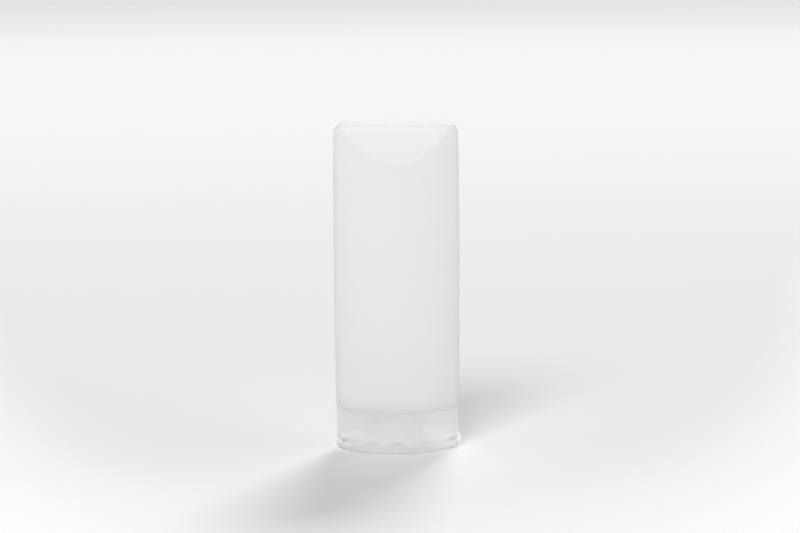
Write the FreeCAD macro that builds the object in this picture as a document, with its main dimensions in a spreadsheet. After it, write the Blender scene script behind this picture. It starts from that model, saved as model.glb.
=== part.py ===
import FreeCAD, Part
import math
import os
import Sketcher

# An upside-down squeeze bottle that stands on its own flip-top cap.
# Millimetres. The origin is at the bottom centre of the closed lid, where it meets the table.
# +Z is up, +X runs along the wide side towards the cap's living hinge, and -Y is the front.
# Every plan outline is the same kind of flat oval: two long shallow arcs, front and back,
# joined by two small end arcs that are tangent to them.

SIZES = {
    # The whole pack
    "height": 132.0,            # table to the flat on top
    "width": 50.0,              # widest, at the waist
    "depth": 27.0,              # front to back
    "end_radius": 7.0,          # the oval's end arcs, on the bottle
    # Bottle, blow-moulded, with its neck downwards
    "wall": 0.9,
    "crown_inset": 0.45,        # each side is this much narrower at the top than at the waist
    "foot_inset": 0.25,         # and this much at the foot
    "band_depth": 11.5,         # flat on top, front to back
    "facet_drop": 15.2,         # height of the slanted face below the flat
    "corner_radius": 4.8,       # top corners, as seen from the front
    "corner_stand_off": 0.12,   # their arcs start this far outside the flank
    "soft_edge": 1.2,           # edges of the slanted faces
    "foot_radius": 1.1,         # lower edge of the body
    "spigot_height": 2.3,       # stepped-in collar that the cap's skirt slides over
    "spigot_radius": 0.6,       # rounding where the collar turns into the shoulder
    "spigot_clearance": 0.15,
    "neck_end_gap": 0.5,        # from the neck's end to the cap's deck
    "neck_bead": 0.5,           # how far the snap bead stands out from the neck
    "neck_bead_height": 1.6,
    "neck_bead_ramp": 0.96,     # the lower part of that height, where it slopes outwards
    "neck_bead_gap": 0.1,       # from the bead's top to the catch that holds it
    # Cap base, injection-moulded in one with the hinge and the lid
    "cap_inset": 0.3,           # the cap stands in from the bottle's foot by this much
    "cap_wall": 1.2,
    "cap_rim_gap": 0.3,         # between the cap's rim and the bottle's foot
    "cap_rim_level": 17.2,      # height of the rim above the table
    "cap_edge_radius": 0.4,
    "deck": 1.7,                # thickness of the plate between bottle and lid
    "snap_wall": 0.9,           # tube that snaps over the neck's bead
    "snap_gap": 0.55,           # from the skirt's inner face to that tube, front and back
    "snap_clearance": 0.1,
    "snap_end_gap": 1.8,        # from the tube's end to the bottle's shoulder
    "snap_catch_height": 1.2,   # inward lip at the end of that tube
    "seal_wall": 0.8,           # tube that seals inside the neck
    "seal_clearance": 0.1,
    "seal_height": 3.4,
    "orifice": 5.0,             # diameter of the pouring hole
    "nozzle_wall": 1.7,         # raised ring round the hole, on the lid's side
    "nozzle_height": 1.2,
    "upstand_wall": 0.9,        # rim on the deck that fits inside the lid
    "upstand_height": 1.1,
    "upstand_clearance": 0.25,
    "scoop_depth": 1.25,        # thumb scoop at the -X end, in from the cap's outline
    "scoop_radius": 7.6,        # its back wall, in plan
    "scoop_half_span": 6.0,
    "scoop_height": 1.2,        # above the parting line
    "scoop_slope": 35.0,        # degrees that its back wall leans outwards
    # Lid
    "lid_height": 3.1,
    "parting_gap": 0.2,         # between lid and cap base
    "lid_floor": 1.2,
    "lid_wall": 1.2,
    "lid_edge_radius": 1.0,
    "plug_clearance": 0.25,     # plug in the pouring hole, at its root
    "plug_taper": 4.0,          # degrees
    "plug_end_gap": 0.3,        # the plug stops this far short of the deck's inner face
    "lip_reach": 0.3,           # thumb lip beyond the lid's outline
    "lip_half_span": 4.5,
    "lip_height": 1.8,
    # Living hinge at the +X end
    "hinge_span": 7.0,          # along Y
    "land_reach": 0.06,         # flat lands that the web runs from stand this far beyond the cap
    "land_depth": 1.4,          # how far the lands go back into the walls
    "land_height": 3.0,         # on the cap base, above its lower edge
    "land_drop": 2.0,           # on the lid, below its upper edge
    "web_thickness": 0.3,
    "web_bow": 0.7,             # how far the web stands clear of the lands
    "web_foot": 0.8,            # height of each end of the web, where it joins a land
    "web_setback": 0.4,         # from each land's edge at the parting line to the web's foot
}

doc = FreeCAD.newDocument("bottle")
sheet = doc.addObject("Spreadsheet::Sheet", "sizes")
for row, (alias, size) in enumerate(SIZES.items(), start=1):
    sheet.set(f"A{row}", alias)
    sheet.set(f"B{row}", str(size))
    sheet.setAlias(f"B{row}", alias)
doc.recompute()

LEVEL_TOLERANCE = 1e-4          # mm, for edges that are looked up by their height
LEAST_VOLUME_CHANGE = 0.01      # mm3, that every pad and pocket must make

# Heights above the table, as expressions on the sheet
LID_TOP = "sizes.lid_height"
PARTING = "(sizes.lid_height + sizes.parting_gap)"
DECK_TOP = f"({PARTING} + sizes.deck)"
RIM = "sizes.cap_rim_level"
FOOT = "(sizes.cap_rim_level + sizes.cap_rim_gap)"
SHOULDER = f"({FOOT} - sizes.spigot_height)"
NECK_END = f"({DECK_TOP} + sizes.neck_end_gap)"
SNAP_END = f"({SHOULDER} - sizes.snap_end_gap)"
CATCH_LOW = f"({SNAP_END} - sizes.snap_catch_height)"
BEAD_TOP = f"({CATCH_LOW} - sizes.neck_bead_gap)"
BEAD_LOW = f"({BEAD_TOP} - sizes.neck_bead_height)"


def outline(inset):
    """The flat oval, this much inside the bottle's waist outline: half width, half depth, end radius."""
    half_width = f"(sizes.width / 2 - ({inset}))"
    half_depth = f"(sizes.depth / 2 - ({inset}))"
    return half_width, half_depth, f"(sizes.end_radius - ({inset}))"


def flank_outline(side_inset, inset):
    """The flat oval, narrower on each side by side_inset, and this much inside that all round."""
    half_width, half_depth, end_radius = outline(inset)
    return f"({half_width} - ({side_inset}))", half_depth, end_radius


CAP_INSET = "(sizes.foot_inset + sizes.cap_inset)"
CAP_INNER = f"({CAP_INSET} + sizes.cap_wall)"
SPIGOT_INSET = f"({CAP_INNER} + sizes.spigot_clearance)"
LID_INNER = f"({CAP_INSET} + sizes.lid_wall)"
UPSTAND_OUTER = f"({LID_INNER} + sizes.upstand_clearance)"
UPSTAND_INNER = f"({UPSTAND_OUTER} + sizes.upstand_wall)"
CAP_END = f"(sizes.width / 2 - {CAP_INSET})"
END_RADIUS = f"(sizes.end_radius - {CAP_INSET})"
LAND_FACE = f"({CAP_END} + sizes.land_reach)"

# Radii of the round fits, from the cap's skirt inwards: the neck is as wide as they leave room for.
SNAP_OUTER = f"(sizes.depth / 2 - {CAP_INNER} - sizes.snap_gap)"
SNAP_INNER = f"({SNAP_OUTER} - sizes.snap_wall)"
BEAD_OUTER = f"({SNAP_INNER} - sizes.snap_clearance)"
NECK_OUTER = f"({BEAD_OUTER} - sizes.neck_bead)"
NECK_INNER = f"({NECK_OUTER} - sizes.wall)"
SEAL_OUTER = f"({NECK_INNER} - sizes.seal_clearance)"
SEAL_INNER = f"({SEAL_OUTER} - sizes.seal_wall)"
ORIFICE = "(sizes.orifice / 2)"

# The flat land at the hinge end has the same plan on the cap base and on the lid.
LAND_CORNERS = [
    (f"({LAND_FACE} - sizes.land_depth)", "-(sizes.hinge_span / 2)"),
    (LAND_FACE, "-(sizes.hinge_span / 2)"),
    (LAND_FACE, "(sizes.hinge_span / 2)"),
    (f"({LAND_FACE} - sizes.land_depth)", "(sizes.hinge_span / 2)"),
]


def value(expression):
    return float(sheet.evalExpression(expression))


def new_body(name):
    body = doc.addObject("PartDesign::Body", name)
    body.Label = name
    body.Placement = FreeCAD.Placement()
    return body


def origin_plane(body, role):
    return next(feature for feature in body.Origin.OriginFeatures if feature.Role == role)


def new_sketch(body, name, role, level="0"):
    """A sketch on one of the body's origin planes, moved along the plane's normal to a level."""
    sketch = body.newObject("Sketcher::SketchObject", name)
    sketch.AttachmentSupport = [(origin_plane(body, role), "")]
    sketch.MapMode = "FlatFace"
    sketch.setExpression(".AttachmentOffset.Base.z", level)
    return sketch


def bind(sketch, constraint, name, expression):
    index = sketch.addConstraint(constraint)
    sketch.renameConstraint(index, name)
    sketch.setExpression(f"Constraints.{name}", expression)


def add_oval(sketch, name, half_width, half_depth, end_radius):
    """Draw a flat oval round the sketch's origin: front, right end, back and left end arcs."""
    a = value(half_width)
    b = value(half_depth)
    r = value(end_radius)
    reach = f"({half_width} - {end_radius})"
    rise = f"({half_depth} - {end_radius})"
    face_radius = f"(({reach}^2 + {half_depth}^2 - {end_radius}^2) / (2 * {rise}))"
    big = value(face_radius)
    spread = math.atan2(big - b, a - r)     # direction of the tangent points from the end centres
    up = FreeCAD.Vector(0, 0, 1)

    def arc(x, y, radius, start, stop):
        circle = Part.Circle(FreeCAD.Vector(x, y, 0), up, radius)
        return sketch.addGeometry(Part.ArcOfCircle(circle, start, stop))

    front = arc(0, big - b, big, math.pi + spread, 2 * math.pi - spread)
    right = arc(a - r, 0, r, -spread, spread)
    back = arc(0, b - big, big, spread, math.pi - spread)
    left = arc(r - a, 0, r, math.pi - spread, math.pi + spread)
    for here, following in ((front, right), (right, back), (back, left), (left, front)):
        sketch.addConstraint(Sketcher.Constraint("Tangent", here, 2, following, 1))
    sketch.addConstraint(Sketcher.Constraint("PointOnObject", right, 3, -1))
    sketch.addConstraint(Sketcher.Constraint("Equal", right, left))
    for face in (front, back):
        sketch.addConstraint(Sketcher.Constraint("PointOnObject", face, 3, -2))
    bind(sketch, Sketcher.Constraint("Radius", right, r), f"{name}_end", end_radius)
    bind(sketch, Sketcher.Constraint("DistanceX", -1, 1, right, 3, a - r), f"{name}_reach", reach)
    bind(sketch, Sketcher.Constraint("Radius", front, big), f"{name}_front", face_radius)
    bind(sketch, Sketcher.Constraint("Radius", back, big), f"{name}_back", face_radius)


def add_circle(sketch, name, radius):
    r = value(radius)
    circle = Part.Circle(FreeCAD.Vector(0, 0, 0), FreeCAD.Vector(0, 0, 1), r)
    index = sketch.addGeometry(circle)
    sketch.addConstraint(Sketcher.Constraint("Coincident", index, 3, -1, 1))
    bind(sketch, Sketcher.Constraint("Radius", index, r), name, radius)


def add_profile(sketch, name, corners):
    """Draw a closed outline of straight lines through corners, each a pair of expressions."""
    places = [FreeCAD.Vector(value(x), value(y), 0) for x, y in corners]
    lines = [sketch.addGeometry(Part.LineSegment(here, there))
             for here, there in zip(places, places[1:] + places[:1])]
    for index, line in enumerate(lines):
        following = lines[(index + 1) % len(lines)]
        sketch.addConstraint(Sketcher.Constraint("Coincident", line, 2, following, 1))
        x, y = corners[index]
        bind(sketch, Sketcher.Constraint("DistanceX", -1, 1, line, 1, places[index].x),
             f"{name}_x{index}", x)
        bind(sketch, Sketcher.Constraint("DistanceY", -1, 1, line, 1, places[index].y),
             f"{name}_y{index}", y)


def add_end_patch(sketch, name, centre_x, radius, half_span, far_x):
    """Draw a patch at the -X end: an arc that bulges towards -X, closed by straight lines at far_x."""
    centre = value(centre_x)
    r = value(radius)
    span = value(half_span)
    far = value(far_x)
    turn = math.asin(span / r)
    circle = Part.Circle(FreeCAD.Vector(centre, 0, 0), FreeCAD.Vector(0, 0, 1), r)
    arc = sketch.addGeometry(Part.ArcOfCircle(circle, math.pi - turn, math.pi + turn))
    near = centre - r * math.cos(turn)
    ring = [FreeCAD.Vector(*place, 0) for place in
            ((near, -span), (far, -span), (far, span), (near, span))]
    lines = [sketch.addGeometry(Part.LineSegment(here, there)) for here, there in zip(ring, ring[1:])]
    sketch.addConstraint(Sketcher.Constraint("Coincident", arc, 2, lines[0], 1))
    sketch.addConstraint(Sketcher.Constraint("Coincident", lines[0], 2, lines[1], 1))
    sketch.addConstraint(Sketcher.Constraint("Coincident", lines[1], 2, lines[2], 1))
    sketch.addConstraint(Sketcher.Constraint("Coincident", lines[2], 2, arc, 1))
    for line, kind in zip(lines, ("Horizontal", "Vertical", "Horizontal")):
        sketch.addConstraint(Sketcher.Constraint(kind, line))
    sketch.addConstraint(Sketcher.Constraint("Vertical", arc, 1, arc, 2))
    sketch.addConstraint(Sketcher.Constraint("PointOnObject", arc, 3, -1))
    bind(sketch, Sketcher.Constraint("Radius", arc, r), f"{name}_radius", radius)
    bind(sketch, Sketcher.Constraint("DistanceX", -1, 1, arc, 3, centre), f"{name}_centre", centre_x)
    bind(sketch, Sketcher.Constraint("DistanceY", -1, 1, arc, 1, span), f"{name}_span", half_span)
    bind(sketch, Sketcher.Constraint("DistanceX", -1, 1, lines[1], 1, far), f"{name}_far", far_x)


def extrude(body, kind, name, sketch, length, reverse=False, both_ways=False):
    """Pad or pocket a sketch. Both must change the body's volume, or the direction is wrong."""
    before = body.Shape.Volume if body.Tip and not body.Shape.isNull() else 0.0
    feature = body.newObject(f"PartDesign::{kind}", name)
    feature.Profile = sketch
    feature.setExpression("Length", length)
    feature.Reversed = reverse
    feature.SideType = "Symmetric" if both_ways else "One side"
    doc.recompute()
    if abs(body.Shape.Volume - before) < LEAST_VOLUME_CHANGE:
        raise RuntimeError(f"{name} changes nothing")
    return feature


def revolve(body, name, sketch):
    """Turn a profile once round the Z axis. It must add to the body."""
    before = body.Shape.Volume
    ring = body.newObject("PartDesign::Revolution", name)
    ring.Profile = sketch
    ring.ReferenceAxis = (sketch, ["V_Axis"])
    ring.Angle = 360
    doc.recompute()
    if body.Shape.Volume - before < LEAST_VOLUME_CHANGE:
        raise RuntimeError(f"{name} adds nothing")


def round_edges(body, name, radius, chosen):
    """Fillet the edges of the body's last feature for which chosen(edge) is true."""
    base = body.Tip
    edges = [f"Edge{i}" for i, edge in enumerate(base.Shape.Edges, start=1) if chosen(edge)]
    if not edges:
        raise RuntimeError(f"{name} finds no edge")
    fillet = body.newObject("PartDesign::Fillet", name)
    fillet.Base = (base, edges)
    fillet.setExpression("Radius", radius)
    doc.recompute()
    return fillet


def lies_at(edge, level):
    box = edge.BoundBox
    return abs(box.ZMin - level) < LEVEL_TOLERANCE and abs(box.ZMax - level) < LEVEL_TOLERANCE


# ---------------------------------------------------------------- bottle
def add_corner(sketch, name, sign, inset):
    """Draw what a rounded top corner takes away: a quarter arc, closed by lines well clear of the body.

    The arc starts a little outside the flank and crosses it, because an arc that only grazes the
    flank would leave a sliver.
    """
    side = "" if sign > 0 else "-"
    radius = f"(sizes.corner_radius - ({inset}))"
    centre_x = (f"{side}(sizes.width / 2 - sizes.crown_inset + sizes.corner_stand_off"
                f" - sizes.corner_radius)")
    centre_y = "(sizes.height - sizes.corner_radius)"
    r = value(radius)
    x = value(centre_x)
    y = value(centre_y)
    outside = sign * value("sizes.width")
    above = value("sizes.height + sizes.depth")
    start, stop = (0, math.pi / 2) if sign > 0 else (math.pi / 2, math.pi)
    side_end, top_end = (1, 2) if sign > 0 else (2, 1)
    circle = Part.Circle(FreeCAD.Vector(x, y, 0), FreeCAD.Vector(0, 0, 1), r)
    arc = sketch.addGeometry(Part.ArcOfCircle(circle, start, stop))
    ring = [FreeCAD.Vector(*place, 0) for place in
            ((x, y + r), (x, above), (outside, above), (outside, y), (x + sign * r, y))]
    lines = [sketch.addGeometry(Part.LineSegment(here, there)) for here, there in zip(ring, ring[1:])]
    sketch.addConstraint(Sketcher.Constraint("Coincident", arc, top_end, lines[0], 1))
    for here, there in zip(lines, lines[1:]):
        sketch.addConstraint(Sketcher.Constraint("Coincident", here, 2, there, 1))
    sketch.addConstraint(Sketcher.Constraint("Coincident", lines[-1], 2, arc, side_end))
    for line, kind in zip(lines, ("Vertical", "Horizontal", "Vertical", "Horizontal")):
        sketch.addConstraint(Sketcher.Constraint(kind, line))
    sketch.addConstraint(Sketcher.Constraint("Vertical", arc, 3, arc, top_end))
    sketch.addConstraint(Sketcher.Constraint("Horizontal", arc, 3, arc, side_end))
    bind(sketch, Sketcher.Constraint("Radius", arc, r), f"{name}_radius", radius)
    bind(sketch, Sketcher.Constraint("DistanceX", -1, 1, arc, 3, x), f"{name}_x", centre_x)
    bind(sketch, Sketcher.Constraint("DistanceY", -1, 1, arc, 3, y), f"{name}_y", centre_y)
    bind(sketch, Sketcher.Constraint("DistanceX", -1, 1, lines[1], 2, outside), f"{name}_outside",
         f"{side}sizes.width")
    bind(sketch, Sketcher.Constraint("DistanceY", -1, 1, lines[1], 2, above), f"{name}_above",
         "sizes.height + sizes.depth")


def add_flanks(body, inset, low):
    """The body of the bottle up to its flat top, this much inside the outer surface."""
    high = f"(sizes.height - ({inset}))"
    sections = []
    for name, level, side_inset in (
        ("foot", low, "sizes.foot_inset"),
        ("waist", f"({low} + {high}) / 2", "0"),
        ("crown", high, "sizes.crown_inset"),
    ):
        section = new_sketch(body, f"{body.Name}_{name}", "XY_Plane", level)
        add_oval(section, "oval", *flank_outline(side_inset, inset))
        sections.append(section)
    doc.recompute()
    flanks = body.newObject("PartDesign::AdditiveLoft", f"{body.Name}_flanks")
    flanks.Profile = sections[0]
    flanks.Sections = [(section, [""]) for section in sections[1:]]
    doc.recompute()


def cut_top(body, inset):
    """Round the top corners and cut the two slanted faces, this much inside the outer surface."""
    corners = new_sketch(body, f"{body.Name}_corner_profile", "XZ_Plane")
    add_corner(corners, "right", 1, inset)
    add_corner(corners, "left", -1, inset)
    doc.recompute()
    extrude(body, "Pocket", f"{body.Name}_corners", corners, "sizes.depth * 2", both_ways=True)

    run = "(sizes.depth / 2 - sizes.band_depth / 2)"
    slope = f"(sizes.facet_drop / {run})"
    # The slanted plane moved inwards by the inset crosses the top's level this far from the middle.
    band = f"(sizes.band_depth / 2 - ({inset}) * (sqrt(1 + {slope}^2) - 1) / {slope})"
    crown = f"(sizes.height - ({inset}))"
    facets = new_sketch(body, f"{body.Name}_facet_profile", "YZ_Plane")
    for name, side in (("back", ""), ("front", "-")):
        add_profile(facets, name, [
            (f"{side}{band}", crown),
            (f"{side}sizes.depth", f"{crown} - {slope} * (sizes.depth - {band})"),
            (f"{side}sizes.depth", "sizes.height + sizes.depth"),
            (f"{side}{band}", "sizes.height + sizes.depth"),
        ])
    doc.recompute()
    extrude(body, "Pocket", f"{body.Name}_facets", facets, "sizes.width * 2", both_ways=True)


bottle = new_body("bottle")
add_flanks(bottle, "0", FOOT)
cut_top(bottle, "0")
foot_level = value(FOOT)
body_low = value(f"{FOOT} + sizes.foot_radius")
round_edges(bottle, "soft_edges", "sizes.soft_edge", lambda e: e.BoundBox.ZMin > body_low)
round_edges(bottle, "foot_edge", "sizes.foot_radius", lambda e: lies_at(e, foot_level))
spigot = new_sketch(bottle, "spigot_outline", "XY_Plane", FOOT)
add_oval(spigot, "oval", *outline(SPIGOT_INSET))
extrude(bottle, "Pad", "spigot", spigot, "sizes.spigot_height", reverse=True)
shoulder_level = value(SHOULDER)
round_edges(bottle, "spigot_edge", "sizes.spigot_radius", lambda e: lies_at(e, shoulder_level))
neck = new_sketch(bottle, "neck_outline", "XY_Plane", SHOULDER)
add_circle(neck, "outer", NECK_OUTER)
extrude(bottle, "Pad", "neck", neck, f"{SHOULDER} - {NECK_END}", reverse=True)
bead = new_sketch(bottle, "bead_profile", "XZ_Plane")
neck_midwall = f"({NECK_OUTER} - sizes.wall / 2)"
add_profile(bead, "bead", [
    (neck_midwall, BEAD_LOW),
    (NECK_OUTER, BEAD_LOW),
    (BEAD_OUTER, f"{BEAD_LOW} + sizes.neck_bead_ramp"),
    (BEAD_OUTER, BEAD_TOP),
    (neck_midwall, BEAD_TOP),
])
revolve(bottle, "neck_bead_ring", bead)

# The hollow follows the outer surface, one wall inside it.
hollow = new_body("bottle_hollow")
add_flanks(hollow, "sizes.wall", f"({FOOT} + sizes.wall)")
cut_top(hollow, "sizes.wall")
collar = new_sketch(hollow, "collar_hollow", "XY_Plane", f"{SHOULDER} + sizes.wall")
add_oval(collar, "oval", *outline(f"({SPIGOT_INSET} + sizes.wall)"))
extrude(hollow, "Pad", "collar_bore", collar, "sizes.spigot_height + sizes.wall")
bore = new_sketch(hollow, "neck_bore_outline", "XY_Plane", NECK_END)
add_circle(bore, "bore", NECK_INNER)
extrude(hollow, "Pad", "neck_bore", bore, f"{FOOT} - {NECK_END}")
cut = bottle.newObject("PartDesign::Boolean", "hollow_out")
cut.Type = "Cut"
cut.addObject(hollow)
doc.recompute()

# -------------------------------------------------------------- cap base
cap = new_body("cap_base")
skirt = new_sketch(cap, "skirt_outline", "XY_Plane", PARTING)
add_oval(skirt, "oval", *outline(CAP_INSET))
extrude(cap, "Pad", "skirt", skirt, f"{RIM} - {PARTING}")
rim_level = value(RIM)
round_edges(cap, "rim_edge", "sizes.cap_edge_radius", lambda e: lies_at(e, rim_level))

inside = new_sketch(cap, "skirt_inside", "XY_Plane", DECK_TOP)
add_oval(inside, "oval", *outline(CAP_INNER))
extrude(cap, "Pocket", "skirt_hollow", inside, f"{RIM} - {DECK_TOP}", reverse=True)

# The hinge end's flat land, which the curved wall would not give
land = new_sketch(cap, "cap_land_outline", "XY_Plane", PARTING)
add_profile(land, "land", LAND_CORNERS)
extrude(cap, "Pad", "cap_land", land, "sizes.land_height")

scoop = new_sketch(cap, "scoop_outline", "XY_Plane", PARTING)
add_end_patch(scoop, "scoop", f"(-({CAP_END} - sizes.scoop_depth - sizes.scoop_radius))",
              "sizes.scoop_radius", "sizes.scoop_half_span", f"(-({CAP_END} + sizes.cap_wall))")
thumb_scoop = extrude(cap, "Pocket", "thumb_scoop", scoop, "sizes.scoop_height", reverse=True)
thumb_scoop.setExpression("TaperAngle", "-sizes.scoop_slope")
doc.recompute()

upstand = new_sketch(cap, "upstand_outline", "XY_Plane", PARTING)
add_oval(upstand, "outer", *outline(UPSTAND_OUTER))
add_oval(upstand, "inner", *outline(UPSTAND_INNER))
extrude(cap, "Pad", "upstand", upstand, "sizes.upstand_height", reverse=True)

nozzle = new_sketch(cap, "nozzle_outline", "XY_Plane", PARTING)
add_circle(nozzle, "outer", f"({ORIFICE} + sizes.nozzle_wall)")
extrude(cap, "Pad", "nozzle", nozzle, "sizes.nozzle_height", reverse=True)
nozzle_end = value(f"{PARTING} - sizes.nozzle_height")
round_edges(cap, "nozzle_edge", "sizes.nozzle_height / 2", lambda e: lies_at(e, nozzle_end))

snap = new_sketch(cap, "snap_outline", "XY_Plane", DECK_TOP)
add_circle(snap, "outer", SNAP_OUTER)
add_circle(snap, "inner", SNAP_INNER)
extrude(cap, "Pad", "snap_tube", snap, f"{SNAP_END} - {DECK_TOP}")
catch = new_sketch(cap, "catch_profile", "XZ_Plane")
snap_midwall = f"({SNAP_INNER} + sizes.snap_wall / 2)"
catch_inner = f"({NECK_OUTER} + sizes.snap_clearance)"
add_profile(catch, "catch", [
    (snap_midwall, CATCH_LOW),
    (snap_midwall, SNAP_END),
    (SNAP_INNER, SNAP_END),
    (catch_inner, f"{SNAP_END} - sizes.snap_catch_height / 2"),
    (catch_inner, CATCH_LOW),
])
revolve(cap, "snap_catch", catch)

seal = new_sketch(cap, "seal_outline", "XY_Plane", DECK_TOP)
add_circle(seal, "outer", SEAL_OUTER)
add_circle(seal, "inner", SEAL_INNER)
extrude(cap, "Pad", "seal_tube", seal, "sizes.seal_height")

orifice = new_sketch(cap, "orifice_outline", "XY_Plane", DECK_TOP)
add_circle(orifice, "hole", ORIFICE)
extrude(cap, "Pocket", "orifice", orifice, "sizes.deck + sizes.nozzle_height")

# ------------------------------------------------------------------- lid
lid = new_body("flip_lid")
tray = new_sketch(lid, "lid_outline", "XY_Plane")
add_oval(tray, "oval", *outline(CAP_INSET))
extrude(lid, "Pad", "lid_block", tray, LID_TOP)
round_edges(lid, "lid_edge", "sizes.lid_edge_radius", lambda e: lies_at(e, 0))

lid_land = new_sketch(lid, "lid_land_outline", "XY_Plane", LID_TOP)
add_profile(lid_land, "land", LAND_CORNERS)
extrude(lid, "Pad", "lid_land", lid_land, "sizes.land_drop", reverse=True)

lip = new_sketch(lid, "lip_outline", "XY_Plane", LID_TOP)
add_end_patch(lip, "lip", f"(-({CAP_END} - {END_RADIUS}))", f"({END_RADIUS} + sizes.lip_reach)",
              "sizes.lip_half_span", f"(-({CAP_END} - {END_RADIUS} / 2))")
extrude(lid, "Pad", "thumb_lip", lip, "sizes.lip_height", reverse=True)

well = new_sketch(lid, "lid_inside", "XY_Plane", LID_TOP)
add_oval(well, "oval", *outline(LID_INNER))
extrude(lid, "Pocket", "lid_hollow", well, f"{LID_TOP} - sizes.lid_floor")

plug = new_sketch(lid, "plug_outline", "XY_Plane", "sizes.lid_floor")
add_circle(plug, "plug", f"({ORIFICE} - sizes.plug_clearance)")
pin = extrude(lid, "Pad", "plug", plug, f"{DECK_TOP} - sizes.plug_end_gap - sizes.lid_floor")
pin.setExpression("TaperAngle", "-sizes.plug_taper")
doc.recompute()

# ---------------------------------------------------------- living hinge
web = new_body("living_hinge")
web_inner = f"({LAND_FACE} + sizes.web_bow)"
web_outer = f"({web_inner} + sizes.web_thickness)"
foot_outer = f"({LAND_FACE} + sizes.web_thickness)"
web_profile = new_sketch(web, "web_profile", "XZ_Plane")
add_profile(web_profile, "web", [
    (LAND_FACE, f"{LID_TOP} - sizes.web_setback - sizes.web_foot"),
    (foot_outer, f"{LID_TOP} - sizes.web_setback - sizes.web_foot"),
    (web_outer, f"{LID_TOP} - sizes.web_setback"),
    (web_outer, f"{PARTING} + sizes.web_setback"),
    (foot_outer, f"{PARTING} + sizes.web_setback + sizes.web_foot"),
    (LAND_FACE, f"{PARTING} + sizes.web_setback + sizes.web_foot"),
    (LAND_FACE, f"{PARTING} + sizes.web_setback"),
    (web_inner, f"{PARTING} + sizes.web_setback / 2"),
    (web_inner, f"{LID_TOP} - sizes.web_setback / 2"),
    (LAND_FACE, f"{LID_TOP} - sizes.web_setback"),
])
extrude(web, "Pad", "web", web_profile, "sizes.hinge_span", both_ways=True)

# ---------------------------------------------------------------- export
for item in doc.Objects:
    if {"Invalid", "Error"} & set(item.State):
        raise RuntimeError(f"{item.Name} failed to build: {item.State}")
os.makedirs("parts", exist_ok=True)
for body in (bottle, cap, lid, web):
    shape = body.Shape
    if shape.isNull() or not shape.isValid() or len(shape.Solids) != 1:
        raise RuntimeError(f"{body.Label} is not one valid solid")
    shape.exportStep(f"parts/{body.Label}.step")
    print(f"{body.Label}: {shape.Volume / 1000:.2f} cm3")
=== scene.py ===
"""A cosmetic squeeze bottle that stands upside down on its flip-top cap, with its looks and its stage.

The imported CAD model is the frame. The bottle and the living hinge are rebuilt here as smooth meshes,
and the cap base and the lid keep their CAD shapes and get their finish. Lengths are in metres.
"""
import math

import bmesh
import bpy
import numpy as np
from mathutils import Matrix, Vector


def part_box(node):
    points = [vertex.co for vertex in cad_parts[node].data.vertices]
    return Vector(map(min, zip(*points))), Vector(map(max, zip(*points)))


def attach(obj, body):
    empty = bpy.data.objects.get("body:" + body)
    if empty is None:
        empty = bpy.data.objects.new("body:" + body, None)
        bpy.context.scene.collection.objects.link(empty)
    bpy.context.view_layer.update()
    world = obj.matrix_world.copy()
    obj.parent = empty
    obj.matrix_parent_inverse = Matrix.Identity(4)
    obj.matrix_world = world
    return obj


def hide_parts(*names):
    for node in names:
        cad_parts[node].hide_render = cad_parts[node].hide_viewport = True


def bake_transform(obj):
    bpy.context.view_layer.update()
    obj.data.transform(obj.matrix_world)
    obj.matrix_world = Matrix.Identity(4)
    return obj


bl_info = {
    "name": "Flip-top squeeze bottle",
    "version": (1, 0, 0),
    "blender": (4, 5, 0),
    "location": "3D View > Sidebar > Bottle",
    "description": "Builds the bottle, its hinge, the finish of its cap and a pale studio round them",
    "category": "Add Mesh",
}

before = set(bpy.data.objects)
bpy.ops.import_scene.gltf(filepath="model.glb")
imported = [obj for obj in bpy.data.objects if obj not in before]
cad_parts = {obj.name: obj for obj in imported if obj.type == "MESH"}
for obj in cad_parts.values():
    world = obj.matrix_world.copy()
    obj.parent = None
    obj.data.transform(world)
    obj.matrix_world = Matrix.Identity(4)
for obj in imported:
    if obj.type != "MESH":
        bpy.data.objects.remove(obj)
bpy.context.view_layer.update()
BOTTLE_LOW, BOTTLE_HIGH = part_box("bottle")
HINGE_LOW, HINGE_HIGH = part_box("living_hinge")
CAP_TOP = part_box("cap_base")[1].z
LID_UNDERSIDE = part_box("flip_lid")[0].z


# ------------------------------------------------------------- user sizes
def length(name, default, description):
    """A length property, in metres."""
    return bpy.props.FloatProperty(
        name=name, description=description, default=default, min=0.0, unit="LENGTH", precision=5)


def tint(name, default, description):
    """A colour property, in linear light."""
    return bpy.props.FloatVectorProperty(
        name=name, description=description, default=default, min=0.0, max=1.0, size=3, subtype="COLOR")


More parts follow.
